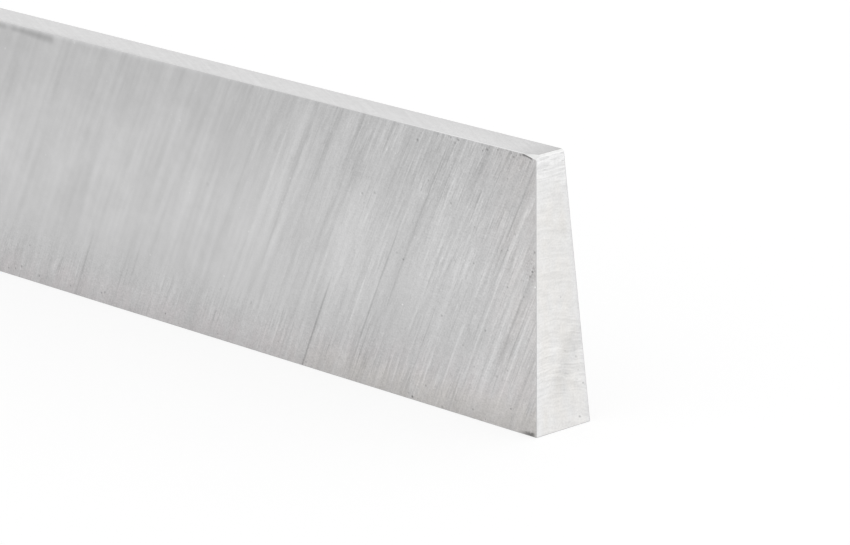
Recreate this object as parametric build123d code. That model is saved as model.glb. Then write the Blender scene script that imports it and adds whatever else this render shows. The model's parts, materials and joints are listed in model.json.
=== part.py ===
from build123d import *
import math
import os

# Parting blade: one straight bar of ground tool steel with a wedge section.
# The bar stands on its wide cutting edge, and its flanks lean in to a narrow back edge.
# Millimetres. The origin is on the cutting edge's face, half way along the bar.
# +X runs along the bar to the end with the worn corner, +Y across it, +Z up to the back edge.

# Overall sizes of the blade stock
LENGTH = 200.0
HEIGHT = 20.0
CUTTING_WIDTH = 5.0

# Lean of each flank from upright, in degrees, which keeps the flanks clear of the cut
FLANK_TAPER = 3.5

# Stoned break on every sharp corner of the bar
ARRIS_BREAK = 0.05

# Wider bevel along the top of the +X end face
END_TOP_BEVEL = 0.16

# Worn corner where the -Y flank, the back edge and the +X end meet
WORN_ALONG = 1.3
WORN_ACROSS = 0.45
WORN_DOWN = 0.22

# Places that follow from the sizes
BACK_WIDTH = CUTTING_WIDTH - 2 * HEIGHT * math.tan(math.radians(FLANK_TAPER))
END_X = LENGTH / 2
BACK_Y = BACK_WIDTH / 2


def wedge_section():
    """The ground section, widest at the cutting edge, with its corners broken."""
    outline = Polyline(
        (-CUTTING_WIDTH / 2, 0),
        (CUTTING_WIDTH / 2, 0),
        (BACK_Y, HEIGHT),
        (-BACK_Y, HEIGHT),
        close=True,
    )
    section = make_face(outline)
    return chamfer(section.vertices(), ARRIS_BREAK)


def square_cut_bar():
    """The section run the whole length, with both ends cut square and their corners broken."""
    half = extrude(Plane.YZ * wedge_section(), END_X, both=True)
    by_x = half.faces().sort_by(Axis.X)
    end_edges = by_x[0].edges() + by_x[-1].edges()
    return chamfer(end_edges, ARRIS_BREAK)


def end_bevel_plane():
    """The plane of the bevel between the +X end face and the back edge, facing outwards."""
    middle = Vector(END_X - END_TOP_BEVEL / 2, 0, HEIGHT - END_TOP_BEVEL / 2)
    return Plane(origin=middle, z_dir=(1, 0, 1))


def worn_corner_plane():
    """The plane across the worn corner, through its reach along the three edges, facing outwards."""
    flank_drop = WORN_DOWN * math.tan(math.radians(FLANK_TAPER))
    on_back_arris = Vector(END_X - WORN_ALONG, -BACK_Y, HEIGHT)
    on_end_top = Vector(END_X, -BACK_Y + WORN_ACROSS, HEIGHT)
    on_end_side = Vector(END_X, -BACK_Y - flank_drop, HEIGHT - WORN_DOWN)
    outward = (on_end_side - on_back_arris).cross(on_end_top - on_back_arris)
    return Plane(origin=on_back_arris, z_dir=outward)


def parting_blade():
    """The finished blade: the square-cut bar, its end bevel and its worn corner."""
    bar = square_cut_bar()
    bevelled = split(bar, bisect_by=end_bevel_plane(), keep=Keep.BOTTOM)
    return split(bevelled, bisect_by=worn_corner_plane(), keep=Keep.BOTTOM)


os.makedirs("parts", exist_ok=True)
blade = parting_blade()
export_step(blade, "parts/parting_blade.step")
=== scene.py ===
import json
import math

import bmesh
import bpy
from bpy.props import FloatProperty, FloatVectorProperty, IntProperty, PointerProperty
from mathutils import Matrix, Vector


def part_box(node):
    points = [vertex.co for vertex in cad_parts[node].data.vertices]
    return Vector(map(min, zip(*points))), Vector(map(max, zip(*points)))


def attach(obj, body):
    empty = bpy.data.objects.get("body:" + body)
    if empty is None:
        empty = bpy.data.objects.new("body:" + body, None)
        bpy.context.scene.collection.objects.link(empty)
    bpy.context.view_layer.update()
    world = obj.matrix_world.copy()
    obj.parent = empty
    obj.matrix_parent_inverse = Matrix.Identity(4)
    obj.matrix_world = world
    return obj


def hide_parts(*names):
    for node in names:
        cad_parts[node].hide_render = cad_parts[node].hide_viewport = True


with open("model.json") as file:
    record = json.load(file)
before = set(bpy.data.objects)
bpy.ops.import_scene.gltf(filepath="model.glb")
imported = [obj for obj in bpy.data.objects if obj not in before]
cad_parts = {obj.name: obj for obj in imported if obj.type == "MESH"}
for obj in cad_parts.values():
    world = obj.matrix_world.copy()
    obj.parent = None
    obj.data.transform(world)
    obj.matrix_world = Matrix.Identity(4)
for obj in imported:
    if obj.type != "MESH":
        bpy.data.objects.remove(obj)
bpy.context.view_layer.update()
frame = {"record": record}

bl_info = {
    "name": "Parting Blade",
    "version": (1, 0, 0),
    "blender": (4, 5, 0),
    "location": "3D View > Sidebar > Parting Blade",
    "description": "Makes a ground tool steel parting blade on a white studio floor",
    "category": "Add Mesh",
}

# The blank is cut in millimetres, and the finished piece is in metres
MM = 0.001
BLADE_NODE = "parting_blade"

# The blade's own sizes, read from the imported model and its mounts
BLADE_LOW, BLADE_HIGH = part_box(BLADE_NODE)
FRONT_FLANK = next(m for m in frame["record"]["mounts"] if m["name"] == "front_flank")
FLANK_TAPER = math.atan2(FRONT_FLANK["axis"][2], abs(FRONT_FLANK["axis"][1]))
FLANK_FOOT = abs(FRONT_FLANK["pos_m"][1]) + FRONT_FLANK["pos_m"][2] * math.tan(FLANK_TAPER)

# Names of the five finishes, and the number that each face of the blank carries for its own
FLANK, BACK_EDGE, CUTTING_EDGE, END, CORNER = range(5)

# Long scratches on the front flank, in millimetres: how far behind the near end each one's line
# meets the foot, the heights of its lower and upper end, its width, and how much paler it is, or
# darker where that is negative
LONG_SCRATCHES = (
    (53.65, -2.0, 4.8, 0.3, -0.15),
    (47.8, 2.6, 5.0, 0.25, -0.10),
    (34.8, 3.0, 20.0, 1.3, 0.05),
    (33.8, 7.0, 19.5, 0.3, -0.09),
    (25.95, -2.0, 6.6, 0.25, -0.26),
    (25.3, 7.0, 19.0, 0.9, 0.06),
    (20.85, 1.0, 12.0, 0.26, -0.16),
    (19.25, 7.0, 19.5, 0.28, -0.12),
    (10.95, 1.0, 7.0, 0.25, 0.12),
    (9.95, 11.0, 19.5, 0.24, -0.12),
    (9.45, 6.0, 15.0, 0.2, -0.10),
    (9.05, 1.0, 17.0, 0.28, 0.15),
    (7.05, 1.0, 10.0, 0.6, 0.11),
    (6.2, 5.5, 12.0, 0.26, -0.20),
    (4.9, 1.0, 9.5, 0.3, 0.14),
    (4.45, 4.0, 9.0, 0.16, -0.10),
    (4.1, 4.0, 9.5, 0.16, -0.09),
)

# Specks on the front flank, in millimetres: how far behind the near end each one lies, its height,
# its radius, and how much darker it is, or paler where that is negative
# A paler speck is a painted glint
SPECKS = (
    (36.8, 11.6, 0.3, 0.07),
    (18.8, 14.1, 0.16, 0.2),
    (14.43, 6.77, 0.12, -0.3),
    (14.3, 10.1, 0.14, 0.3),
    (13.4, 0.22, 0.16, 0.5),
    (13.21, 12.95, 0.12, 0.12),
    (12.8, 0.2, 0.12, 0.2),
    (11.9, 1.35, 0.14, 0.25),
    (10.1, 6.8, 0.16, 0.25),
    (10.1, 0.15, 0.18, 0.25),
    (9.2, 8.93, 0.1, 0.1),
    (9.13, 17.0, 0.12, 0.12),
    (8.97, 17.85, 0.12, 0.1),
    (8.64, 11.1, 0.13, 0.15),
    (8.2, 19.75, 0.15, 0.4),
    (7.62, 11.25, 0.1, -0.25),
    (7.1, 11.35, 0.14, 0.1),
    (7.02, 9.7, 0.12, 0.14),
    (6.76, 0.66, 0.14, 0.25),
    (6.52, 13.85, 0.13, 0.14),
    (5.6, 19.45, 0.12, 0.35),
    (5.48, 11.37, 0.12, 0.1),
    (3.62, 12.7, 0.12, 0.2),
    (3.0, 17.9, 0.14, 0.22),
    (2.96, 12.84, 0.12, 0.25),
    (2.7, 1.55, 0.12, 0.45),
    (2.3, 19.55, 0.14, 0.35),
    (2.23, 14.11, 0.15, 0.12),
    (2.05, 19.7, 0.09, 0.3),
    (1.76, 18.73, 0.12, -0.2),
    (1.6, 10.97, 0.1, 0.12),
    (1.32, 9.84, 0.13, 0.25),
    (0.66, 11.43, 0.15, 0.3),
    (0.57, 1.5, 0.13, 0.14),
    (0.4, 11.8, 0.16, 0.4),
    (0.12, 13.2, 0.18, 0.3),
    (0.1, 10.75, 0.12, -0.4),
)

# Soft patches on the front flank, in millimetres: how far behind the near end each one's middle
# lies, its height, its half length and half height, and how much paler it is, or darker where
# that is negative
SOFT_PATCHES = (
    (60.0, 11.0, 3.0, 5.0, -0.025),
    (53.8, 8.0, 2.8, 3.0, -0.045),
    (33.0, 18.5, 2.5, 3.8, -0.02),
    (28.3, 12.0, 2.8, 8.9, 0.035),
    (20.0, 10.2, 3.8, 7.0, 0.035),
    (19.0, 3.5, 3.2, 3.8, -0.03),
    (12.0, 17.8, 2.8, 3.0, -0.03),
    (10.3, 11.8, 4.3, 7.6, 0.05),
    (5.5, 3.1, 5.7, 2.8, 0.035),
)

# Pits and short strokes on the near end, in millimetres: each one's place across the blade, its
# height, its half length and half height, and how much darker it is, or paler where that is
# negative
END_MARKS = (
    # Painted highlight: the pale patch just below the worn corner
    (-1.05, 19.6, 0.25, 0.28, -0.12),
    (1.1, 19.2, 0.2, 0.08, 0.12),
    (-0.2, 19.15, 0.25, 0.06, 0.10),
    (-0.6, 18.9, 0.25, 0.08, 0.12),
    (0.65, 4.65, 0.9, 0.10, 0.08),
    (0.25, 4.03, 0.5, 0.08, 0.08),
    (0.3, 2.83, 0.55, 0.08, 0.08),
    (-0.1, 2.7, 0.8, 0.07, 0.08),
    (0.47, 5.64, 0.16, 0.10, 0.13),
    (1.46, 4.99, 0.16, 0.12, 0.13),
    (1.61, 4.0, 0.14, 0.10, 0.14),
    (1.47, 3.33, 0.12, 0.08, 0.11),
    (2.01, 2.95, 0.14, 0.10, 0.30),
    (1.55, 0.59, 0.16, 0.12, 0.28),
)

# Stretches of the front flank, in millimetres behind the near end: where each one starts and ends,
# and how soft its borders are. Hair lines and grain thin out over the dulled stretch. The middle
# one has soft lines instead, and the far ones are fainter and mottled.
DULLED_STRETCH = (20, 78, 16)
MIDDLE_STRETCH = (18, 31, 4)
FAR_STRETCH = (33, 78, 6)
FARTHEST_STRETCH = (53, 74, 8)

# The dark streak along the front flank's top and the gap in it, given in the same way
DARK_STREAK_STRETCH = (55.7, 66, 0.5)
DARK_STREAK_GAP = (61.0, 61.8, 0.3)

# Where the tone beside the front top corner starts to soften, and where it is softest, given as
# millimetres behind the near end
CORNER_SOFTENING = (25, 55)

# How squarely a face points along an axis where that axis's grooves start, and where they are deepest
SQUARE_ON = (0.8, 0.98)

# Shift that gives the two flanks, and the two ends, random patterns of their own
OWN_PATTERN = 37.0

# Slant of the lines on the back edge and the cutting edge, lean of the soft patches, and tilt of
# the end's marks, all as slopes
EDGE_SLANT = 0.45
PATCH_LEAN = 0.52
END_MARK_TILT = 0.24

# The lamps: each one's name, the direction from the near end to it, its distance and the length of
# its side in metres, and its power in watts
LAMPS = (
    ("back_left_lamp", (-0.74, 0.61, 0.28), 0.8, 0.5, 0.15),
    ("back_right_lamp", (0.80, 0.55, 0.20), 0.8, 0.5, 0.3),
    ("front_left_lamp", (-0.74, -0.64, 0.15), 0.8, 0.4, 0.1),
)


class BladeSizes(bpy.types.PropertyGroup):
    """The blade's sizes and the wear on its corners."""

    length: FloatProperty(
        name="Length",
        description="Length of the blade along X",
        default=BLADE_HIGH.x - BLADE_LOW.x,
        unit="LENGTH",
    )
    height: FloatProperty(
        name="Height",
        description="Height from the cutting edge to the back edge",
        default=BLADE_HIGH.z - BLADE_LOW.z,
        unit="LENGTH",
    )
    cutting_width: FloatProperty(
        name="Cutting width",
        description="Width across the wide cutting edge, to its sharp corners",
        default=2 * FLANK_FOOT,
        unit="LENGTH",
    )
    flank_taper: FloatProperty(
        name="Flank taper",
        description="Lean of each flank from upright",
        default=FLANK_TAPER,
        subtype="ANGLE",
    )
    corner_break: FloatProperty(
        name="Corner break",
        description="Set-back of the stoned corners",
        default=0.05 * MM,
        unit="LENGTH",
    )
    end_bevel: FloatProperty(
        name="End bevel",
        description="Set-back of the bevel along the top of the near end",
        default=0.16 * MM,
        unit="LENGTH",
    )
    worn_reach: FloatVectorProperty(
        name="Worn corner",
        description="Reach of the worn corner along, across and down the blade",
        default=(1.3 * MM, 0.45 * MM, 0.22 * MM),
        unit="LENGTH",
    )


class GrindingLines(bpy.types.PropertyGroup):
    """The lines that the grinding wheel left, as relief and as tone."""

    foot_lean: FloatProperty(
        name="Lean at the foot",
        description="Lean of the flank lines from upright at the cutting edge",
        default=math.radians(25.2),
        subtype="ANGLE",
    )
    crown_lean: FloatProperty(
        name="Lean at the crown",
        description="Lean of the flank lines from upright at the back edge",
        default=math.radians(29.3),
        subtype="ANGLE",
    )
    column_pitch: FloatProperty(
        name="Column pitch",
        description="Spacing along X of the cuts that carry the flank relief",
        default=0.2 * MM,
        unit="LENGTH",
    )
    groove_depth: FloatProperty(
        name="Groove depth",
        description="Depth of the flank's grinding grooves",
        default=0.008 * MM,
        unit="LENGTH",
    )
    nick_depth: FloatProperty(
        name="Nick depth",
        description="Depth of the nicks along the corners",
        default=0.04 * MM,
        unit="LENGTH",
    )
    seed: IntProperty(
        name="Seed",
        description="Seed of the random lines and nicks",
        default=7,
    )


class SteelColours(bpy.types.PropertyGroup):
    """The colours of the bare steel on each kind of face, the ends' with painted light."""

    flank: FloatVectorProperty(
        name="Flank",
        description="Ground steel of the two flanks",
        default=(0.576, 0.575, 0.577),
        subtype="COLOR",
    )
    flank_stain: FloatVectorProperty(
        name="Flank stain",
        description="Faint reddish staining along the foot of the flanks and at the near end",
        default=(0.592, 0.573, 0.577),
        subtype="COLOR",
    )
    flank_rust: FloatVectorProperty(
        name="Flank rust",
        description="Faint brown staining where the foot of the flanks meets the near end",
        default=(0.590, 0.574, 0.562),
        subtype="COLOR",
    )
    edge: FloatVectorProperty(
        name="Edges",
        description="Finer ground steel of the back edge and the cutting edge",
        default=(0.588, 0.585, 0.586),
        subtype="COLOR",
    )
    # The ends' colour is set lighter than the flanks' as painted light for the light falling on them;
    # their stain keeps that lightness
    end: FloatVectorProperty(
        name="Ends",
        description="Brighter steel of the cut-off ends",
        default=(0.815, 0.815, 0.815),
        subtype="COLOR",
    )
    end_stain: FloatVectorProperty(
        name="End stain",
        description="Faint warm staining on the ends",
        default=(0.812, 0.80, 0.782),
        subtype="COLOR",
    )
    corner: FloatVectorProperty(
        name="Corners",
        description="Rubbed steel of the broken corners",
        default=(0.60, 0.60, 0.60),
        subtype="COLOR",
    )
    # The worn corner's colour is worn steel made bright as a painted highlight
    worn: FloatVectorProperty(
        name="Worn corner",
        description="Bright steel of the worn corner and of the bevel on the near end",
        default=(0.90, 0.90, 0.895),
        subtype="COLOR",
    )


class StageSettings(bpy.types.PropertyGroup):
    """The floor, the lamps and the camera."""

    floor_radius: FloatProperty(
        name="Floor radius",
        description="Radius of the round floor",
        default=6.0,
        unit="LENGTH",
    )
    floor_shade: FloatProperty(
        name="Floor shade",
        description="Share of the floor's look that comes from the light on it",
        default=0.4,
        min=0.0,
        max=1.0,
        subtype="FACTOR",
    )
    lens: FloatProperty(
        name="Lens",
        description="Focal length on a 36 mm wide sensor, in millimetres",
        default=231.93,
        unit="CAMERA",
    )
    distance: FloatProperty(
        name="Camera distance",
        description="Distance from the near end's foot to the camera, along the view",
        default=380.758 * MM,
        unit="LENGTH",
    )
    azimuth: FloatProperty(
        name="Azimuth",
        description="Turn of the camera round the blade from its front",
        default=math.radians(50.8124),
        subtype="ANGLE",
    )
    elevation: FloatProperty(
        name="Elevation",
        description="Height of the camera above the horizon",
        default=math.radians(16.3403),
        subtype="ANGLE",
    )
    roll: FloatProperty(
        name="Roll",
        description="Tilt of the camera about its own line of sight",
        default=math.radians(-3.1974),
        subtype="ANGLE",
    )
    slide: FloatVectorProperty(
        name="Camera slide",
        description="Shift of the camera to its right and up from the near end's foot",
        size=2,
        default=(-9.6313 * MM, 10.9373 * MM),
        unit="LENGTH",
    )


# Nodes and their sums


class Wire:
    """A node's output, on which arithmetic adds Math nodes."""

    def __init__(self, nodes, socket):
        self.nodes = nodes
        self.socket = socket

    def __add__(self, other):
        return self.nodes.math("ADD", self, other)

    def __radd__(self, other):
        return self.nodes.math("ADD", other, self)

    def __sub__(self, other):
        return self.nodes.math("SUBTRACT", self, other)

    def __rsub__(self, other):
        return self.nodes.math("SUBTRACT", other, self)

    def __mul__(self, other):
        return self.nodes.math("MULTIPLY", self, other)

    def __rmul__(self, other):
        return self.nodes.math("MULTIPLY", other, self)

    def __truediv__(self, other):
        return self.nodes.math("DIVIDE", self, other)

    def __abs__(self):
        return self.nodes.math("ABSOLUTE", self)


class Nodes:
    """Adds nodes to one tree and joins them."""

    def __init__(self, tree):
        self.tree = tree

    def add(self, kind, settings=None, values=None):
        """A new node of a kind, with its settings made first and then its sockets filled."""
        node = self.tree.nodes.new(kind)
        for name, setting in (settings or {}).items():
            setattr(node, name, setting)
        for key, value in (values or {}).items():
            self.fill(node.inputs[key], value)
        return node

    def fill(self, socket, value):
        """Links a wire to a socket, or writes a plain value in it."""
        if isinstance(value, Wire):
            self.tree.links.new(value.socket, socket)
        else:
            socket.default_value = value

    def wire(self, kind, settings=None, values=None, output=0):
        """One output of a new node."""
        node = self.add(kind, settings, values)
        return Wire(self, node.outputs[output])

    def math(self, operation, *values):
        """The result of one Math node."""
        return self.wire("ShaderNodeMath", {"operation": operation}, dict(enumerate(values)))

    def ramp(self, value, low, high):
        """A smooth step from 0 at low to 1 at high."""
        settings = {"interpolation_type": "SMOOTHSTEP"}
        return self.wire("ShaderNodeMapRange", settings, {0: value, 1: low, 2: high, 3: 0.0, 4: 1.0})

    def split(self, vector):
        """The three parts of a vector."""
        node = self.add("ShaderNodeSeparateXYZ", values={0: vector})
        return [Wire(self, socket) for socket in node.outputs]

    def join(self, x, y, z):
        """A vector of three parts."""
        return self.wire("ShaderNodeCombineXYZ", values={0: x, 1: y, 2: z})

    def vector(self, operation, *values):
        """The vector result of one Vector Math node."""
        return self.wire("ShaderNodeVectorMath", {"operation": operation}, dict(enumerate(values)))

    def scaled(self, vector, factor):
        """A vector or colour times a number."""
        return self.wire("ShaderNodeVectorMath", {"operation": "SCALE"}, {0: vector, 3: factor})

    def noise(self, x, y, z, detail=1.0):
        """Smooth random tone at a place, centred on zero and about half a unit each way."""
        values = {"Vector": self.join(x, y, z), "Scale": 1.0, "Detail": detail}
        return self.wire("ShaderNodeTexNoise", values=values) - 0.5

    def strokes(self, across, along):
        """Random tone that keeps steady over each long thin stroke, centred on zero."""
        values = {"Vector": self.join(across, along, 0.0), "Scale": 1.0}
        return self.wire("ShaderNodeTexVoronoi", {"voronoi_dimensions": "2D"}, values, "Color") - 0.5

    def pits(self, x, y, share, radius):
        """Small round pits in a share of the unit cells, from 0 between them to 1 in the deepest."""
        place = {"Vector": self.join(x, y, 0.0), "Scale": 1.0}
        cells = self.add("ShaderNodeTexVoronoi", {"voronoi_dimensions": "2D"}, place)
        chances = self.add("ShaderNodeSeparateColor", values={0: Wire(self, cells.outputs["Color"])})
        chosen, size, depth = [Wire(self, socket) for socket in chances.outputs]
        distance = Wire(self, cells.outputs["Distance"])
        round_pit = self.ramp(distance, (0.4 + size * 0.6) * radius, 0.0)
        return round_pit * (0.3 + depth * 0.7) * self.ramp(chosen, 1.0 - share, 1.001 - share)

    def between(self, value, low, high, soft):
        """1 between two limits and 0 outside them, over a soft border."""
        return self.ramp(value, low - soft, low + soft) * self.ramp(value, high + soft, high - soft)

    def mixed(self, share, first, second):
        """One colour turned into another by a share."""
        first, second = (c if isinstance(c, Wire) else (*c, 1.0) for c in (first, second))
        return self.wire("ShaderNodeMix", {"data_type": "RGBA"}, {0: share, 6: first, 7: second}, 2)


# The blank, cut in millimetres


def section_corners(sizes):
    """The four corners of the wedge section, as Y and Z, going round it."""
    foot = sizes.cutting_width / MM / 2
    height = sizes.height / MM
    crown = foot - height * math.tan(sizes.flank_taper)
    return [(-foot, 0.0), (foot, 0.0), (crown, height), (-crown, height)]


def sharp_bar(sizes):
    """The bar with sharp corners, centred on X."""
    bm = bmesh.new()
    half = sizes.length / MM / 2
    rings = [[bm.verts.new((x, y, z)) for y, z in section_corners(sizes)] for x in (-half, half)]
    bm.faces.new(rings[0])
    bm.faces.new(reversed(rings[1]))
    for i in range(4):
        j = (i + 1) % 4
        bm.faces.new((rings[0][j], rings[0][i], rings[1][i], rings[1][j]))
    bmesh.ops.recalc_face_normals(bm, faces=bm.faces)
    return bm


def all_parts(bm):
    """Every corner, edge and face of a mesh."""
    return bm.verts[:] + bm.edges[:] + bm.faces[:]


def cut_off(bm, point, outward):
    """Cuts the bar along a plane, drops what lies outside it and closes the cut."""
    cut = bmesh.ops.bisect_plane(
        bm, geom=all_parts(bm), plane_co=point, plane_no=outward, clear_outer=True
    )
    edges = [part for part in cut["geom_cut"] if isinstance(part, bmesh.types.BMEdge)]
    bmesh.ops.contextual_create(bm, geom=edges)


def cut_end_bevel(bm, sizes):
    """The bevel between the near end and the back edge."""
    set_back = sizes.end_bevel / MM / 2
    point = Vector((sizes.length / MM / 2 - set_back, 0, sizes.height / MM - set_back))
    cut_off(bm, point, Vector((1, 0, 1)))


def cut_worn_corner(bm, sizes):
    """The facet where the near end, the front flank and the back edge meet."""
    along, across, down = (reach / MM for reach in sizes.worn_reach)
    crown_y, crown_z = section_corners(sizes)[3]
    end_x = sizes.length / MM / 2
    on_back_corner = Vector((end_x - along, crown_y, crown_z))
    on_end_top = Vector((end_x, crown_y + across, crown_z))
    on_end_side = Vector((end_x, crown_y - down * math.tan(sizes.flank_taper), crown_z - down))
    outward = (on_end_side - on_back_corner).cross(on_end_top - on_back_corner)
    cut_off(bm, on_back_corner, outward)


def finish_of(normal):
    """The finish of a face that points along a normal."""
    least = 0.95
    if abs(normal.y) > least:
        return FLANK
    if abs(normal.x) > least:
        return END
    if normal.z > least:
        return BACK_EDGE
    if normal.z < -least:
        return CUTTING_EDGE
    return CORNER


def round_corners(bm, sizes):
    """Breaks every corner of the bar with a small round, and marks each face with its finish."""
    bmesh.ops.bevel(
        bm,
        geom=bm.edges[:],
        offset=sizes.corner_break / MM,
        offset_type="OFFSET",
        segments=2,
        profile=0.5,
        affect="EDGES",
    )
    finish = bm.faces.layers.int.new("finish")
    for face in bm.faces:
        face[finish] = finish_of(face.normal)


def faces_with(bm, number):
    """The faces that carry one finish."""
    finish = bm.faces.layers.int["finish"]
    return [face for face in bm.faces if face[finish] == number]


def around(faces):
    """Some faces with their edges and corners."""
    edges = {edge for face in faces for edge in face.edges}
    verts = {vert for face in faces for vert in face.verts}
    return [*verts, *edges, *faces]


def split_at(bm, parts, point, normal):
    """Splits parts of the mesh along a plane, without opening it, and returns their faces."""
    snap = 0.0005
    done = bmesh.ops.bisect_plane(bm, geom=parts, dist=snap, plane_co=point, plane_no=normal)
    return [part for part in done["geom"] if isinstance(part, bmesh.types.BMFace)]


def cut_columns(bm, sizes, lines):
    """Splits the whole bar into columns that lean as the grinding lines do."""
    height = sizes.height / MM
    half = sizes.length / MM / 2
    pitch = lines.column_pitch / MM
    lean = (math.tan(lines.foot_lean) + math.tan(lines.crown_lean)) / 2
    normal = Vector((1, 0, -lean)).normalized()
    start = -half - lean * height
    ahead = bm.faces[:]
    for i in range(1, int((half - start) / pitch) + 1):
        point = Vector((start + i * pitch, 0, 0))
        faces = split_at(bm, around(ahead), point, normal)
        ahead = [face for face in faces if (face.calc_center_median() - point).dot(normal) > 0]


def cut_rows(bm, sizes):
    """Splits the bar at levels, close together beside the cutting edge and the back edge."""
    height = sizes.height / MM
    near_edge = (0.12, 0.22, 0.38, 0.65, 1.1)
    between = 12
    first = near_edge[-1]
    step = (height - 2 * first) / between
    levels = [first + i * step for i in range(1, between)]
    levels += [*near_edge, *(height - level for level in near_edge)]
    for level in levels:
        split_at(bm, all_parts(bm), Vector((0, 0, level)), Vector((0, 0, 1)))


def clear_of_corners(sizes):
    """How far the cuts stay off the corners, so that their rounds stay whole, in millimetres."""
    return 1.5 * sizes.corner_break / MM


def cut_strips(bm, sizes):
    """Splits the cutting edge and the back edge lengthwise, so that their own lines have relief."""
    hold = clear_of_corners(sizes)
    foot = sizes.cutting_width / MM / 2
    crown = section_corners(sizes)[2][0]
    for finish, half in ((CUTTING_EDGE, foot), (BACK_EDGE, crown)):
        for share in (-1, -0.5, 0, 0.5, 1):
            point = Vector((0, share * (half - hold), 0))
            split_at(bm, around(faces_with(bm, finish)), point, Vector((0, 1, 0)))


def cut_ends(bm, sizes):
    """Splits the two ends into small cells for their cut-off lines."""
    clear_x = sizes.length / MM / 2 - clear_of_corners(sizes)
    cell = 0.3
    count = int(sizes.cutting_width / MM / 2 / cell)
    for i in range(-count, count + 1):
        split_at(bm, around(faces_with(bm, END)), Vector((0, i * cell, 0)), Vector((0, 1, 0)))
    for side in (-1, 1):
        split_at(bm, all_parts(bm), Vector((side * clear_x, 0, 0)), Vector((1, 0, 0)))


def blank_mesh(sizes, lines):
    """The blade's blank in metres, cut finely enough to carry its grinding lines."""
    bm = sharp_bar(sizes)
    cut_end_bevel(bm, sizes)
    cut_worn_corner(bm, sizes)
    round_corners(bm, sizes)
    cut_columns(bm, sizes, lines)
    cut_rows(bm, sizes)
    cut_strips(bm, sizes)
    cut_ends(bm, sizes)
    bmesh.ops.transform(bm, matrix=Matrix.Scale(MM, 4), verts=bm.verts)
    for face in bm.faces:
        face.smooth = True
    mesh = bpy.data.meshes.new("blade_blank")
    bm.to_mesh(mesh)
    bm.free()
    return mesh


# The grinding lines as relief


def across_lines(x, z, foot_slope, slope_gain):
    """The place across the flank's curved grinding lines, in millimetres."""
    return x - z * (foot_slope + z * slope_gain)


def line_slopes(sizes, lines):
    """The slope of the flank lines at the foot, and its gain for each millimetre up, halved."""
    foot = math.tan(lines.foot_lean)
    crown = math.tan(lines.crown_lean)
    return foot, (crown - foot) / (sizes.height / MM) / 2


def add_tree_sockets(tree, inputs):
    """Names the geometry tree's inputs and its output."""
    tree.interface.new_socket(name="Geometry", in_out="INPUT", socket_type="NodeSocketGeometry")
    tree.interface.new_socket(name="Geometry", in_out="OUTPUT", socket_type="NodeSocketGeometry")
    for name, kind in inputs:
        tree.interface.new_socket(name=name, in_out="INPUT", socket_type=kind)


def line_depth(nodes, point, normal, pattern, slopes):
    """How deep the grinding lines cut, from 0 to about 2, by the way that each face points."""
    x, y, z = point
    along, across, up = normal
    place = across_lines(x, z, *slopes)
    fine = nodes.noise(place / 0.35, z / 16, pattern, detail=2.0)
    broad = nodes.noise(place / 1.6, z / 30, pattern)
    scored = nodes.ramp(nodes.noise(place / 0.7, z / 12, pattern + 5.0), 0.14, 0.3)
    flank = (0.5 + fine + broad + scored) * nodes.ramp(abs(across), *SQUARE_ON)

    edge_place = x * EDGE_SLANT + y
    edge_lines = nodes.noise(edge_place / 0.5, y / 6, pattern, detail=2.0)
    edge = (0.5 + edge_lines) * nodes.ramp(abs(up), *SQUARE_ON)

    cut_lines = nodes.noise(z / 0.3 + y / 2.5, y / 5, pattern, detail=2.0)
    end = (0.5 + cut_lines) * nodes.ramp(abs(along), *SQUARE_ON)
    return flank + edge + end


def corner_nicks(nodes, point, normal, seed):
    """How deep the nicks are, from 0 to 1: only where a face is square to none of the axes."""
    x, y, z = point
    along, across, up = normal
    facing = nodes.math("MAXIMUM", abs(across), nodes.math("MAXIMUM", abs(up), abs(along)))
    corner = 1.0 - nodes.ramp(facing, 0.8, 0.99)
    nicks = nodes.ramp(nodes.noise(x / 0.5, y * 2.0, z / 2 + seed, detail=2.0), 0.12, 0.35)
    return corner * nicks


def give_finishes(nodes, shape, finishes):
    """Sets the material of each face by the number that it carries."""
    carried = nodes.wire("GeometryNodeInputNamedAttribute", {"data_type": "INT"}, {"Name": "finish"})
    match = {"data_type": "INT", "operation": "EQUAL"}
    for number, material in finishes.items():
        chosen = nodes.wire("FunctionNodeCompare", match, {2: carried, 3: number})
        values = {"Geometry": shape, "Selection": chosen, "Material": material}
        shape = nodes.wire("GeometryNodeSetMaterial", values=values)
    return shape


def relief_tree(sizes, lines, finishes):
    """The geometry tree that cuts grooves and nicks into the blank and gives each face its finish."""
    tree = bpy.data.node_groups.new("grinding_relief", "GeometryNodeTree")
    add_tree_sockets(
        tree,
        [
            ("Groove Depth", "NodeSocketFloat"),
            ("Nick Depth", "NodeSocketFloat"),
            ("Seed", "NodeSocketFloat"),
        ],
    )
    nodes = Nodes(tree)
    group = nodes.add("NodeGroupInput")
    shape, groove_depth, nick_depth, seed = [Wire(nodes, group.outputs[i]) for i in range(4)]

    position = nodes.wire("GeometryNodeInputPosition")
    normal = nodes.wire("GeometryNodeInputNormal")
    point = nodes.split(nodes.scaled(position, 1 / MM))
    normal_parts = nodes.split(normal)
    pattern = nodes.math("SIGN", point[1]) * 3.0 + seed
    grooves = line_depth(nodes, point, normal_parts, pattern, line_slopes(sizes, lines))
    nicks = corner_nicks(nodes, point, normal_parts, seed)
    depth = grooves * groove_depth + nicks * nick_depth

    offset = nodes.scaled(normal, 0.0 - depth)
    cut = nodes.wire("GeometryNodeSetPosition", values={"Geometry": shape, "Offset": offset})
    solid = nodes.wire("GeometryNodeRealizeInstances", values={"Geometry": cut})
    nodes.add("NodeGroupOutput", values={0: give_finishes(nodes, solid, finishes)})
    return tree


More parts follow.
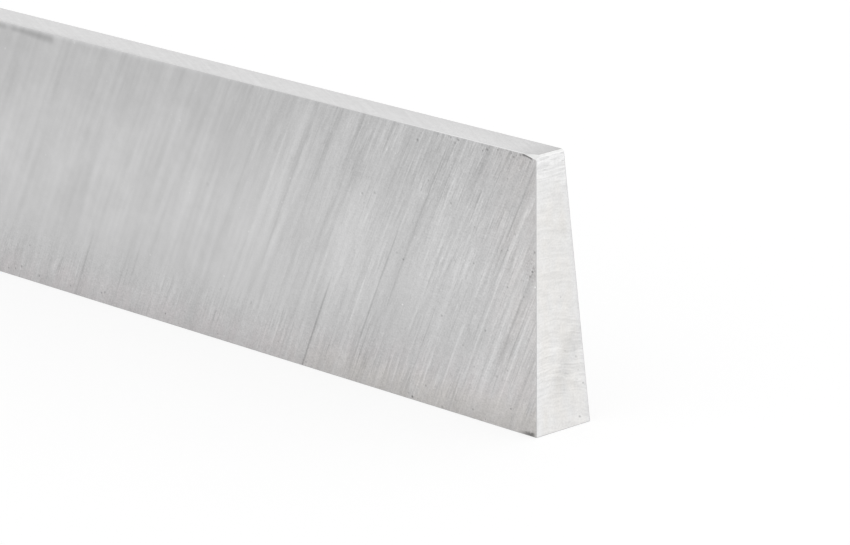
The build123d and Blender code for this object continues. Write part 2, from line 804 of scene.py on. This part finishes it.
def ground_blade(sizes, lines, finishes):
    """The finished blade: the blank with its relief made solid."""
    blank = bpy.data.objects.new("blade_blank", blank_mesh(sizes, lines))
    bpy.context.scene.collection.objects.link(blank)
    tree = relief_tree(sizes, lines, finishes)
    modifier = blank.modifiers.new("grinding_relief", "NODES")
    modifier.node_group = tree
    settings = {
        "Groove Depth": lines.groove_depth,
        "Nick Depth": lines.nick_depth,
        "Seed": float(lines.seed),
    }
    for item in tree.interface.items_tree:
        if item.name in settings:
            modifier[item.identifier] = settings[item.name]
    bpy.context.view_layer.update()
    shaped = blank.evaluated_get(bpy.context.evaluated_depsgraph_get())
    mesh = bpy.data.meshes.new_from_object(shaped)
    mesh.name = "ground_blade"
    blade = bpy.data.objects.new("ground_blade", mesh)
    bpy.context.scene.collection.objects.link(blade)
    bpy.data.objects.remove(blank)
    return blade


# Finishes


def steel(name):
    """A new bare steel material, its nodes and its shader."""
    material = bpy.data.materials.new(name)
    material.use_nodes = True
    tree = material.node_tree
    tree.nodes.clear()
    nodes = Nodes(tree)
    shader = nodes.add("ShaderNodeBsdfPrincipled", values={"Metallic": 1.0})
    nodes.add("ShaderNodeOutputMaterial", values={"Surface": Wire(nodes, shader.outputs[0])})
    return material, nodes, shader


def place_on_blade(nodes):
    """X, Y and Z on the blade, in millimetres."""
    source = nodes.wire("ShaderNodeTexCoord", output=3)
    return nodes.split(nodes.scaled(source, 1 / MM))


def tint(nodes, shader, colour, tone):
    """Colours a steel with a colour times a changing tone."""
    nodes.fill(shader.inputs["Base Color"], nodes.scaled(colour, tone))


def emboss(nodes, shader, height, distance):
    """Bumps a steel by a height, which runs about one unit, over a distance in millimetres."""
    values = {"Strength": 1.0, "Distance": distance * MM, "Height": height}
    nodes.fill(shader.inputs["Normal"], nodes.wire("ShaderNodeBump", values=values))


def grinding_strokes(nodes, place, z, strong, crisp):
    """Overlapping strokes of the grinding wheel, from hair lines to broad bands."""
    hair = nodes.strokes(place / 0.12, z / 1.1) * 0.17 + nodes.strokes(place / 0.17, z / 5) * 0.16
    line = nodes.strokes(place / 0.32, z / 12) * 0.105 + nodes.strokes(place / 0.35, z / 1.4) * 0.09
    band = nodes.strokes(place / 0.8, z / 14) * 0.015 + nodes.noise(place / 2.2, z / 24, 0.0) * 0.2
    return hair * strong * (0.05 + crisp * 0.95), line * strong, band


def long_scratches(nodes, behind, z):
    """The distinct scratches of the front flank, as tone."""
    spread = 0.7
    end_fade = 1.2
    tone = 0.0
    for centre, low, high, width, paler in LONG_SCRATCHES:
        across = nodes.ramp(abs(behind - centre), spread * width, 0.0)
        tone = across * nodes.between(z, low, high, end_fade) * paler + tone
    return tone


def spots(nodes, place, z, marks, lean=0.0, tilt=0.0):
    """Soft ovals, as tone: each with its middle, its half sizes and its strength at its core."""
    point = nodes.join(place + z * lean, z + place * tilt, 0.0)
    core = 0.3
    tone = 0.0
    for middle, height, half_length, half_height, strength in marks:
        shares = (1 / half_length, 1 / half_height, 0.0)
        centre = (middle + height * lean, height + middle * tilt, 0.0)
        start = [-part * share for part, share in zip(centre, shares)]
        oval = nodes.vector("MULTIPLY_ADD", point, shares, start)
        away = nodes.wire("ShaderNodeVectorMath", {"operation": "LENGTH"}, {0: oval}, "Value")
        tone = nodes.ramp(away, 1.0, core) * strength + tone
    return tone


def flank_marks(nodes, behind, line_behind, z):
    """The distinct scratches, specks and patches of the front flank, as tone."""
    flatness = 0.8
    specks = [(place, height, r, flatness * r, -darker) for place, height, r, darker in SPECKS]
    tone = long_scratches(nodes, line_behind, z) + spots(nodes, behind, z, specks)
    return tone + spots(nodes, behind, z, SOFT_PATCHES, lean=PATCH_LEAN)


def burr_shadow(nodes, behind, below):
    """Painted shadow: the thin dark curve under the burr of the worn corner."""
    reach = 1.2 - behind
    drop = 0.10 + reach * reach * 0.30
    thick = 0.09 + behind * 0.07
    return nodes.ramp(abs(below - drop), thick, 0.03) * nodes.between(behind, 0.42, 1.4, 0.15)


def dark_top_streak(nodes, behind, below):
    """The dark streak along the front flank's top, far behind the near end."""
    fore = nodes.ramp(behind, 61, 55.5)
    streak = nodes.ramp(abs(below - 0.34 - fore * 0.1), 0.4 + fore * 0.2, 0.0)
    gap = nodes.between(behind, *DARK_STREAK_GAP) * 0.7
    return streak * (0.7 + fore * 0.3) * nodes.between(behind, *DARK_STREAK_STRETCH) * (1.0 - gap)


def side_blotch(nodes, behind, z):
    """The brown speckled spot beside the near end, half way up."""
    across = (behind - 0.5) / 0.7
    along = (z - 11.9) / 1.1
    spot = nodes.ramp(across * across + along * along, 1.0, 0.0)
    speckle = nodes.noise(behind / 0.22, z / 0.22, 3.0, detail=2.0)
    return spot * nodes.ramp(speckle, -0.05, 0.18) * 0.3


def flank_painted_shade(nodes, z, height):
    """Painted shade of the flank towards the back edge and, more, towards the foot."""
    crown = nodes.ramp(z, height / 2, height) * 0.11
    foot = nodes.ramp(z, height * 0.40, 0.0) * 0.09 + nodes.ramp(z, 1.6, 0.0) * 0.06
    return crown + foot


def foot_chip(nodes, x, z, behind):
    """The ragged chip at the near end's foot, thinning along the blade: dirt and painted shade."""
    ragged = z + nodes.noise(x / 0.3, z / 0.2, 5.0, detail=2.0) * 0.5
    ragged = ragged + nodes.ramp(behind, 0.7, 1.9) * 0.2
    reach = nodes.ramp(behind, 0.05, 0.4) * nodes.ramp(behind, 2.1, 0.6)
    return reach * nodes.ramp(ragged, 0.43, 0.2)


def flank_strokes(nodes, x, z, line_place, side, stretches):
    """The flank's strokes, as tone: hair lines, lines, and all that is broader."""
    crisp, middle, far, farthest = stretches
    strong = 0.8 + nodes.noise(x / 4, z / 3, side + 5.0, detail=2.0) * 2.5 + nodes.ramp(z, 11, 18) * 0.3
    faded = 1.0 + middle * 0.05 - far * 0.7 - farthest * 0.13
    strong = strong * faded * (0.5 + nodes.ramp(z, 0.3, 2.5) * 0.5)
    hair, line, band = grinding_strokes(nodes, line_place + side, z, strong, crisp)
    shallow = nodes.noise(line_place / 0.65, z / 7, side + 2.0, detail=0.0)
    shallow = shallow * (middle * 0.22 + far * 0.17 - farthest * 0.06)
    small_mottle = nodes.noise(x / 1.1, z / 0.9, side + 6.0, detail=2.0) * 0.1
    large_mottle = nodes.noise(x / 4, z / 3, side + 8.0, detail=1.0) * 0.1
    return hair, line, band + shallow + (small_mottle + large_mottle) * far


def flank_grain(nodes, x, z, side, crisp, middle):
    """Fine and coarse grain, fainter where the strokes are soft."""
    fine = nodes.noise(x / 0.16, z / 0.13, side, detail=2.0) * 0.42
    coarse = nodes.noise(x / 0.5, z / 0.4, side, detail=2.0) * 0.20
    return (fine + coarse) * (0.15 + crisp * 0.85 + middle * 0.2)


def flank_pits(nodes, along, behind, z, below, crisp):
    """Pits of the flank, scattered and near its foot, and painted burr shadows near its top."""
    scattered = nodes.pits(along / 1.2, z / 1.2, 0.05, 0.16) * crisp
    low = nodes.pits(along / 0.8, z / 0.8, 0.15, 0.18) * nodes.ramp(z, 2.0, 0.8)
    # Painted shadows: dark dots under small burrs along the flank's top
    high = nodes.pits(along / 0.5, z / 0.4, 0.5, 0.4) * nodes.ramp(below, 1.1, 0.3)
    return scattered, low, high * nodes.ramp(behind, 19, 13)


def flank_colour(nodes, behind, z, stain, blotch, colours):
    """The flank's colour: reddish along its foot, and brown where that meets the near end."""
    near_half = nodes.ramp(behind, 34, 16)
    foot_stain = nodes.ramp(z, 3.2 + near_half * 2.8, 0.5)
    end_stain = nodes.ramp(behind, 9, 0) * 0.4
    stained = (foot_stain + end_stain) * (0.75 + stain * 3.0) + blotch * 6.0
    rust = nodes.ramp(z, 3.0, 0.8) * near_half + nodes.ramp(behind, 6, 1) * 0.35
    rust = rust * (0.85 + stain * 2.5)
    reddish = nodes.mixed(stained, colours.flank, colours.flank_stain)
    return nodes.mixed(rust, reddish, colours.flank_rust)


def flank_steel(sizes, lines, colours):
    """Ground flank: slanting curved strokes, grain, pits and stains, and the front flank's marks."""
    material, nodes, shader = steel("flank_steel")
    x, y, z = place_on_blade(nodes)
    height = sizes.height / MM
    end_x = sizes.length / MM / 2
    behind = end_x - x
    below = height - z
    side = nodes.math("SIGN", y) * OWN_PATTERN
    front = nodes.ramp(y, 0.1, -0.1)
    raised = nodes.ramp(z, 1.5, 6.0) * front
    crisp = 1.0 - nodes.between(behind, *DULLED_STRETCH) * raised
    middle = nodes.between(behind, *MIDDLE_STRETCH) * raised
    far = nodes.between(behind, *FAR_STRETCH) * raised
    farthest = nodes.between(behind, *FARTHEST_STRETCH) * raised

    line_place = across_lines(x, z, *line_slopes(sizes, lines))
    line_behind = end_x - line_place
    stretches = (crisp, middle, far, farthest)
    hair, line, broad = flank_strokes(nodes, x, z, line_place, side, stretches)
    grain = flank_grain(nodes, x, z, side, crisp, middle)
    patch = nodes.noise(x / 5, z / 4, side, detail=3.0) * 0.12
    stain = nodes.noise(line_place / 1.1, z / 2.5, side + 9.0, detail=3.0)
    # The third share is painted shadows under burrs along the top
    pits, low_pits, top_burr_shadows = flank_pits(nodes, x + side, behind, z, below, crisp)
    # Painted highlights: small glints scattered over the flank
    painted_glints = nodes.pits(x + side, z + 50.0, 0.06, 0.14)

    marks = flank_marks(nodes, behind, line_behind, z) * front
    # Painted highlight: the flank's top is lightened beside the corner, far behind the near end
    soft_corner = nodes.ramp(below, 0.4, 0.0) * nodes.ramp(behind, *CORNER_SOFTENING)
    # A darker streak along the front flank's top, far behind the near end
    worn = dark_top_streak(nodes, behind, below)
    near_end = front * nodes.ramp(behind, 3, 2)
    # Painted shadow under the burr of the worn corner
    burr = burr_shadow(nodes, behind, below) * near_end
    # Dirt and painted shade in the chip at the foot of the near end
    chip = foot_chip(nodes, x, z, behind) * near_end
    blotch = side_blotch(nodes, behind, z) * near_end

    # The flank's painted shade by height is taken off the tone here
    tone = 1.0 + hair + line + broad + grain + patch - flank_painted_shade(nodes, z, height)
    tone = tone + marks + painted_glints * 0.2 - (pits + low_pits) * 0.5 - top_burr_shadows * 0.35
    tone = tone + (soft_corner * 0.12 - worn * 0.23) * front
    tone = tone * (1.0 - burr * 0.65) * (1.0 - chip * 0.62) * (1.0 - blotch)
    tint(nodes, shader, flank_colour(nodes, behind, z, stain, blotch, colours), tone)
    nodes.fill(shader.inputs["Roughness"], 0.40 + line * 0.5 + patch)
    emboss(nodes, shader, hair * 3.0 + line * 3.0 + grain - pits, 0.006)
    return material


def edge_steel(name, sizes, colours):
    """Finer ground edge: short faint slanting strokes, smudges and grain."""
    material, nodes, shader = steel(name)
    x, y, z = place_on_blade(nodes)
    behind = sizes.length / MM / 2 - x
    place = x * EDGE_SLANT + y
    fine = nodes.strokes(place / 0.12, y / 0.8) * 0.07 + nodes.strokes(place / 0.35, y / 2) * 0.04
    smudge = nodes.noise(x / 0.8, y / 0.5, z, detail=3.0)
    grain = nodes.noise(x / 0.14, y / 0.12, z, detail=2.0) * (0.5 + nodes.ramp(behind, 16, 10))
    slant = y * nodes.ramp(behind, 60, 0) * -0.025
    end_dulling = nodes.ramp(behind, 3.5, 0) * 0.16
    smear = nodes.ramp(nodes.noise(x / 1.2, y / 0.25, z + 4.0, detail=2.0), 0.16, 0.3)
    smear = smear * nodes.ramp(behind, 30, 10)
    soft_corner = nodes.ramp(y, -0.75, -1.25) * nodes.ramp(z, 1, 2)
    soft_corner = soft_corner * nodes.ramp(behind, *CORNER_SOFTENING)
    tone = 1.0 + fine + smudge * 0.26 + grain * 0.24 + slant - end_dulling - smear * 0.12
    tone = tone - soft_corner * 0.05
    tint(nodes, shader, tuple(colours.edge), tone)
    nodes.fill(shader.inputs["Roughness"], 0.38 + smudge * 0.12)
    emboss(nodes, shader, fine * 8.0 + grain * 0.3, 0.004)
    return material


def end_strokes(nodes, y, z, below, side):
    """The end's strokes and their strength: level near the top, and bowed lower down."""
    wander = nodes.noise(y / 1.5, z / 1.8, side)
    level = nodes.ramp(below, 6, 2)
    bow = (y * 0.16 + y * y * 0.05 + wander * 0.5) * (1.0 - level * 0.8)
    place = z + bow + side
    coarse = nodes.strokes(place / 0.22, y / 2.0) * (0.7 - level * 0.4)
    stroke = nodes.strokes(place / 0.10, y / 1.1) + coarse
    strong = 0.45 + nodes.ramp(below, 3.5, 2) * 0.5 + nodes.ramp(below, 1.7, 0.7) * 0.9
    return stroke, strong + nodes.between(z, 3.0, 7.5, 1.5) * 0.45


def end_shading(nodes, y, z, below, rear):
    """Broad tone of the end: a dull patch low down, a slow fall across it, and its borders."""
    dull_middle = (z - 3.0) * 0.5 - 0.3
    dull = nodes.between(z, 2.6, 7.4, 0.9) * nodes.ramp(abs(y - dull_middle), 1.3, 0.2) * 0.08
    fall = nodes.ramp(y, -2.2, 0.8) * 0.04
    crown = nodes.ramp(below, 4, 1.5) * 0.025
    rear_border = nodes.ramp(rear, 2.15, 2.4) * nodes.ramp(below, 1, 4) * 0.02
    return crown - dull - fall - rear_border


def end_steel(sizes, colours):
    """Cut-off end: lines across the section, faint arcs, a dull patch, stains and pits."""
    material, nodes, shader = steel("end_steel")
    x, y, z = place_on_blade(nodes)
    below = sizes.height / MM - z
    side = nodes.math("SIGN", x) * OWN_PATTERN
    rear = y + z * math.tan(sizes.flank_taper)
    line, strong = end_strokes(nodes, y, z, below, side)
    grain = nodes.noise(y / 0.16, z / 0.16, side, detail=2.0)
    mottle = nodes.noise(y / 0.6, z / 0.7, side + 2.0, detail=3.0)
    patch = nodes.noise(y / 2.0, z / 2.6, side + 3.0, detail=2.0)
    stain = nodes.noise(y / 0.9, z / 2.0, side + 4.0)
    inside = nodes.ramp(y, -2.2, -1.5) * nodes.ramp(rear, 2.4, 1.8) * nodes.ramp(below, 0, 5)
    pits = nodes.pits((y + side) / 1.1, z / 1.1, 0.08, 0.12) * 0.3
    marks = spots(nodes, y, z, END_MARKS, tilt=END_MARK_TILT) * nodes.ramp(x, 0, 1)
    tone = 1.0 + line * strong * 0.14 + grain * 0.22 + mottle * 0.18 + patch * 0.06
    tone = tone + end_shading(nodes, y, z, below, rear) - pits - marks
    stained = inside * (0.7 + stain * 2.0)
    tint(nodes, shader, nodes.mixed(stained, colours.end, colours.end_stain), tone)
    nodes.fill(shader.inputs["Roughness"], 0.48 + patch * 0.15)
    emboss(nodes, shader, line * 0.5 + grain * 0.3 - pits * 2.0, 0.005)
    return material


def corner_steel(sizes, colours):
    """Broken corners: rubbed steel, painted shade at the foot, painted highlight on the worn near end.
    """
    material, nodes, shader = steel("corner_steel")
    x, y, z = place_on_blade(nodes)
    behind = sizes.length / MM / 2 - x
    reach = max(sizes.worn_reach) / MM
    dull = nodes.noise(x / 0.5, y / 0.5, z / 0.5, detail=2.0)
    crown = nodes.ramp(sizes.height / MM - z, 0.4, 0.2)
    # Worn corner and end bevel: worn steel with a painted highlight, its back part kept darker
    worn = crown * nodes.ramp(behind, reach + 0.2, reach - 0.2)
    facet = worn * nodes.ramp(y, -0.75, -0.95) * (0.08 + nodes.ramp(behind, 0.6, 1.0) * 0.16)
    # The rubbed top corner near the end is lighter, partly as a painted highlight
    rubbed = crown * nodes.ramp(behind, 26, 6) * 0.25
    tip = nodes.ramp(behind, 0.07, 0.02)
    # Painted shade along the bottom corner
    foot = nodes.ramp(z, 0.4, 0.2) * 0.25
    plain = rubbed - tip * 0.08 - foot * (1.0 - tip)
    tone = 1.0 + dull * 0.25 + plain * (1.0 - worn) - facet
    tint(nodes, shader, nodes.mixed(worn, colours.corner, colours.worn), tone)
    nodes.fill(shader.inputs["Roughness"], 0.36 + dull * 0.2)
    emboss(nodes, shader, dull, 0.004)
    return material


class BLADE_OT_make(bpy.types.Operator):
    """Makes the ground blade in the place of the plain solid"""

    bl_idname = "parting_blade.make_blade"
    bl_label = "Make Blade"

    def execute(self, context):
        sizes = context.scene.blade_sizes
        lines = context.scene.grinding_lines
        colours = context.scene.steel_colours
        finishes = {
            FLANK: flank_steel(sizes, lines, colours),
            BACK_EDGE: edge_steel("back_edge_steel", sizes, colours),
            CUTTING_EDGE: edge_steel("cutting_edge_steel", sizes, colours),
            END: end_steel(sizes, colours),
            CORNER: corner_steel(sizes, colours),
        }
        blade = ground_blade(sizes, lines, finishes)
        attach(blade, "root")
        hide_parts(BLADE_NODE)
        return {"FINISHED"}


# The stage


def seen_directly(nodes):
    """1 for light paths that show the background: to the camera, in metal and through glass."""
    path = nodes.add("ShaderNodeLightPath")
    camera, glossy, through = [
        Wire(nodes, path.outputs[name])
        for name in ("Is Camera Ray", "Is Glossy Ray", "Is Transmission Ray")
    ]
    return nodes.math("MAXIMUM", camera, nodes.math("MAXIMUM", glossy, through))


def white_world(scene):
    """A white surround that lights the blade evenly."""
    world = bpy.data.worlds.new("white_surround")
    scene.world = world
    world.use_nodes = True
    world.node_tree.nodes.clear()
    nodes = Nodes(world.node_tree)
    light = 0.75
    strength = light + seen_directly(nodes) * (1.0 - light)
    surround = nodes.wire("ShaderNodeBackground", values={"Color": (1, 1, 1, 1), "Strength": strength})
    nodes.add("ShaderNodeOutputWorld", values={"Surface": surround})


def floor_paint(stage):
    """Floor paint that shows white where nothing shades it and keeps the blade's shadow."""
    open_floor_light = 0.67
    glow_share = 1.0 - stage.floor_shade
    glow_strength = (1.0 - open_floor_light * stage.floor_shade) / glow_share
    material = bpy.data.materials.new("white_floor")
    material.use_nodes = True
    material.node_tree.nodes.clear()
    nodes = Nodes(material.node_tree)
    lit = nodes.wire("ShaderNodeBsdfDiffuse", values={"Color": (0.9, 0.9, 0.9, 1)})
    glow = nodes.wire("ShaderNodeEmission", values={"Color": (1, 1, 1, 1), "Strength": glow_strength})
    share = seen_directly(nodes) * glow_share
    paint = nodes.wire("ShaderNodeMixShader", values={0: share, 1: lit, 2: glow})
    nodes.add("ShaderNodeOutputMaterial", values={"Surface": paint})
    return material


def round_floor(scene, stage):
    """A large round floor at the blade's foot."""
    bm = bmesh.new()
    bmesh.ops.create_circle(bm, cap_ends=True, segments=96, radius=stage.floor_radius)
    mesh = bpy.data.meshes.new("floor")
    bm.to_mesh(mesh)
    bm.free()
    mesh.materials.append(floor_paint(stage))
    floor = bpy.data.objects.new("floor", mesh)
    scene.collection.objects.link(floor)


def soft_lamp(scene, name, toward, distance, size, power):
    """A square lamp that shines at the blade's near end from a direction."""
    light = bpy.data.lights.new(name, "AREA")
    light.size = size
    light.energy = power
    lamp = bpy.data.objects.new(name, light)
    aim = Vector((BLADE_HIGH.x, 0, BLADE_HIGH.z / 2))
    direction = Vector(toward).normalized()
    lamp.location = aim + direction * distance
    lamp.rotation_mode = "QUATERNION"
    lamp.rotation_quaternion = direction.to_track_quat("Z", "Y")
    scene.collection.objects.link(lamp)


def view_axes(stage):
    """The camera's right, up and backward directions."""
    a, e, r = stage.azimuth, stage.elevation, stage.roll
    back = Vector((math.sin(a) * math.cos(e), -math.cos(a) * math.cos(e), math.sin(e)))
    level = Vector((math.cos(a), math.sin(a), 0))
    upright = back.cross(level)
    right = math.cos(r) * level + math.sin(r) * upright
    up = math.cos(r) * upright - math.sin(r) * level
    return right, up, back


def near_end_camera(scene, stage):
    """A long-lens camera that looks down along the blade at its near end."""
    right, up, back = view_axes(stage)
    data = bpy.data.cameras.new("near_end_camera")
    data.sensor_width = 36.0
    data.lens = stage.lens
    data.clip_start = 0.01
    data.clip_end = 100.0
    camera = bpy.data.objects.new("near_end_camera", data)
    foot = Vector((BLADE_HIGH.x, 0, 0))
    place = foot + back * stage.distance + right * stage.slide[0] + up * stage.slide[1]
    turn = Matrix((right, up, back)).transposed()
    camera.matrix_world = Matrix.Translation(place) @ turn.to_4x4()
    scene.collection.objects.link(camera)
    scene.camera = camera


class BLADE_OT_stage(bpy.types.Operator):
    """Sets the white floor, the soft lamps, the surround and the camera"""

    bl_idname = "parting_blade.set_stage"
    bl_label = "Set Stage"

    def execute(self, context):
        scene = context.scene
        stage = scene.stage_settings
        scene.view_settings.view_transform = "Standard"
        white_world(scene)
        round_floor(scene, stage)
        for lamp in LAMPS:
            soft_lamp(scene, *lamp)
        near_end_camera(scene, stage)
        return {"FINISHED"}


class BLADE_PT_panel(bpy.types.Panel):
    """Lists the blade's settings and the two steps that make it"""

    bl_idname = "BLADE_PT_panel"
    bl_label = "Parting Blade"
    bl_space_type = "VIEW_3D"
    bl_region_type = "UI"
    bl_category = "Parting Blade"

    def draw(self, context):
        scene = context.scene
        for settings in (scene.blade_sizes, scene.grinding_lines, scene.steel_colours):
            self.list_settings(settings)
        self.layout.operator(BLADE_OT_make.bl_idname)
        self.list_settings(scene.stage_settings)
        self.layout.operator(BLADE_OT_stage.bl_idname)

    def list_settings(self, settings):
        """One box with every setting of a group."""
        box = self.layout.box()
        for name in settings.__annotations__:
            box.prop(settings, name)


SETTINGS = {
    "blade_sizes": BladeSizes,
    "grinding_lines": GrindingLines,
    "steel_colours": SteelColours,
    "stage_settings": StageSettings,
}
CLASSES = (*SETTINGS.values(), BLADE_OT_make, BLADE_OT_stage, BLADE_PT_panel)


def register():
    for cls in CLASSES:
        bpy.utils.register_class(cls)
    for name, group in SETTINGS.items():
        setattr(bpy.types.Scene, name, PointerProperty(type=group))


def unregister():
    for name in SETTINGS:
        delattr(bpy.types.Scene, name)
    for cls in reversed(CLASSES):
        bpy.utils.unregister_class(cls)


def main():
    register()
    bpy.ops.parting_blade.set_stage()
    bpy.ops.parting_blade.make_blade()


if __name__ == "__main__":
    main()
